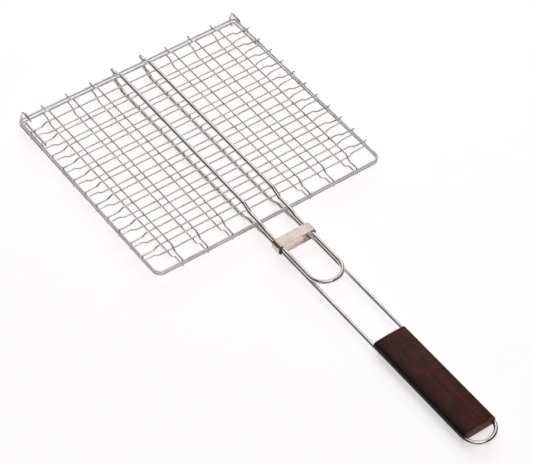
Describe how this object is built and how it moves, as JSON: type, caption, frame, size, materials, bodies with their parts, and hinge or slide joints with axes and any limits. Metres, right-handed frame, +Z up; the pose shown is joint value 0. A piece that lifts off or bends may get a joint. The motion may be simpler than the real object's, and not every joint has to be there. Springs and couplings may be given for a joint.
{
  "type": "grill basket",
  "caption": "Flat hinged grill basket of two dished wire grids with a long wire handle, a wooden grip, a hanging loop and a sliding latch band.",
  "frame": {"origin": "on the surface the basket stands on, under the middle of its overall length and width", "axes": "+X to the right seen from the grip, +Y from the grip towards the hinge, +Z up"},
  "size_m": [0.302, 0.6622, 0.0294],
  "materials": {
    "plated_mesh": "bright nickel plating on thin round wire",
    "plated_rod": "bright nickel plating on round rod and rim wire",
    "latch_sheet": "polished plated sheet with a warm tint",
    "stained_wood": "dark brown stain, satin, worn along the end edges"
  },
  "bodies": {
    "tray": {"lower_rim": "plated_rod", "lower_cross_wire_01": "plated_mesh", "lower_cross_wire_02": "plated_mesh", "lower_cross_wire_03": "plated_mesh", "lower_cross_wire_04": "plated_mesh", "lower_cross_wire_05": "plated_mesh", "lower_cross_wire_06": "plated_mesh", "lower_cross_wire_07": "plated_mesh", "lower_cross_wire_08": "plated_mesh", "lower_cross_wire_09": "plated_mesh", "lower_cross_wire_10": "plated_mesh", "lower_cross_wire_11": "plated_mesh", "lower_long_wire_1": "plated_mesh", "lower_long_wire_2": "plated_mesh", "lower_long_wire_3": "plated_mesh", "lower_long_wire_4": "plated_mesh", "lower_long_wire_5": "plated_mesh", "lower_long_wire_6": "plated_mesh", "lower_rod_left": "plated_rod", "lower_rod_right": "plated_rod", "lower_rod_loop": "plated_rod", "grip": "stained_wood"},
    "lid": {"upper_rim": "plated_rod", "upper_cross_wire_01": "plated_mesh", "upper_cross_wire_02": "plated_mesh", "upper_cross_wire_03": "plated_mesh", "upper_cross_wire_04": "plated_mesh", "upper_cross_wire_05": "plated_mesh", "upper_cross_wire_06": "plated_mesh", "upper_cross_wire_07": "plated_mesh", "upper_cross_wire_08": "plated_mesh", "upper_cross_wire_09": "plated_mesh", "upper_cross_wire_10": "plated_mesh", "upper_cross_wire_11": "plated_mesh", "upper_long_wire_1": "plated_mesh", "upper_long_wire_2": "plated_mesh", "upper_long_wire_3": "plated_mesh", "upper_long_wire_4": "plated_mesh", "upper_long_wire_5": "plated_mesh", "upper_long_wire_6": "plated_mesh", "upper_rod_left": "plated_rod", "upper_rod_right": "plated_rod", "upper_rod_loop": "plated_rod", "hinge_hook_left": "plated_rod", "hinge_hook_right": "plated_rod"},
    "latch": {"latch_band": "latch_sheet"}
  },
  "joints": [
    {"name": "lid_hinge", "type": "hinge", "parent": "tray", "child": "lid", "pos_m": [0, 0.32385, 0.0121], "axis": [-1, 0, 0], "range_deg": [0, 120]},
    {"name": "latch_slide", "type": "slide", "parent": "tray", "child": "latch", "axis": [0, 1, 0], "range_m": [-0.1595, 0.014]}
  ]
}
